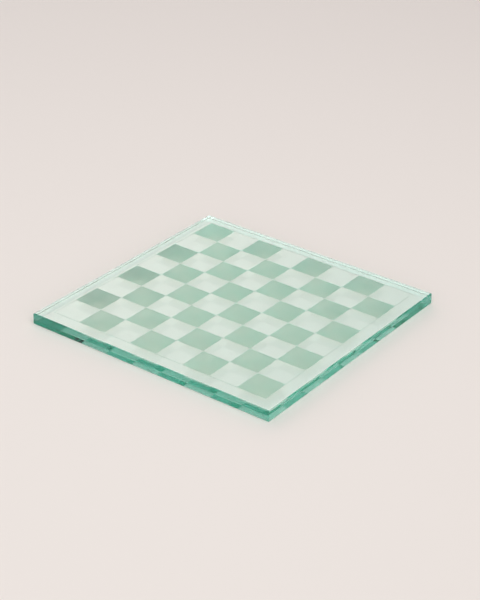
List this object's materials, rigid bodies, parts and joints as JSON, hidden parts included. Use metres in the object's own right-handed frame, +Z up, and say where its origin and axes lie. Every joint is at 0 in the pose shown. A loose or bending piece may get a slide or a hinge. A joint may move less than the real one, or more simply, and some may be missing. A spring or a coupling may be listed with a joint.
{
  "type": "glass chess board",
  "caption": "Thick square slab of green float glass with a chequered field of frosted squares sandblasted into its polished top face.",
  "frame": {"origin": "centre of the plate's underside, where it rests on the table", "axes": "+Z up through the playing surface; +X from the a file to the h file; +Y from rank 1 to rank 8, so White sits at -Y"},
  "size_m": [0.35, 0.35, 0.015],
  "materials": {
    "clear_glass": "polished green float glass",
    "etched_glass": "sandblasted, matt"
  },
  "bodies": {
    "root": {"glass_plate": "clear_glass", "etched_square_a1": "etched_glass", "etched_square_a3": "etched_glass", "etched_square_a5": "etched_glass", "etched_square_a7": "etched_glass", "etched_square_b2": "etched_glass", "etched_square_b4": "etched_glass", "etched_square_b6": "etched_glass", "etched_square_b8": "etched_glass", "etched_square_c1": "etched_glass", "etched_square_c3": "etched_glass", "etched_square_c5": "etched_glass", "etched_square_c7": "etched_glass", "etched_square_d2": "etched_glass", "etched_square_d4": "etched_glass", "etched_square_d6": "etched_glass", "etched_square_d8": "etched_glass", "etched_square_e1": "etched_glass", "etched_square_e3": "etched_glass", "etched_square_e5": "etched_glass", "etched_square_e7": "etched_glass", "etched_square_f2": "etched_glass", "etched_square_f4": "etched_glass", "etched_square_f6": "etched_glass", "etched_square_f8": "etched_glass", "etched_square_g1": "etched_glass", "etched_square_g3": "etched_glass", "etched_square_g5": "etched_glass", "etched_square_g7": "etched_glass", "etched_square_h2": "etched_glass", "etched_square_h4": "etched_glass", "etched_square_h6": "etched_glass", "etched_square_h8": "etched_glass", "etched_frame_line": "etched_glass"}
  },
  "joints": []
}
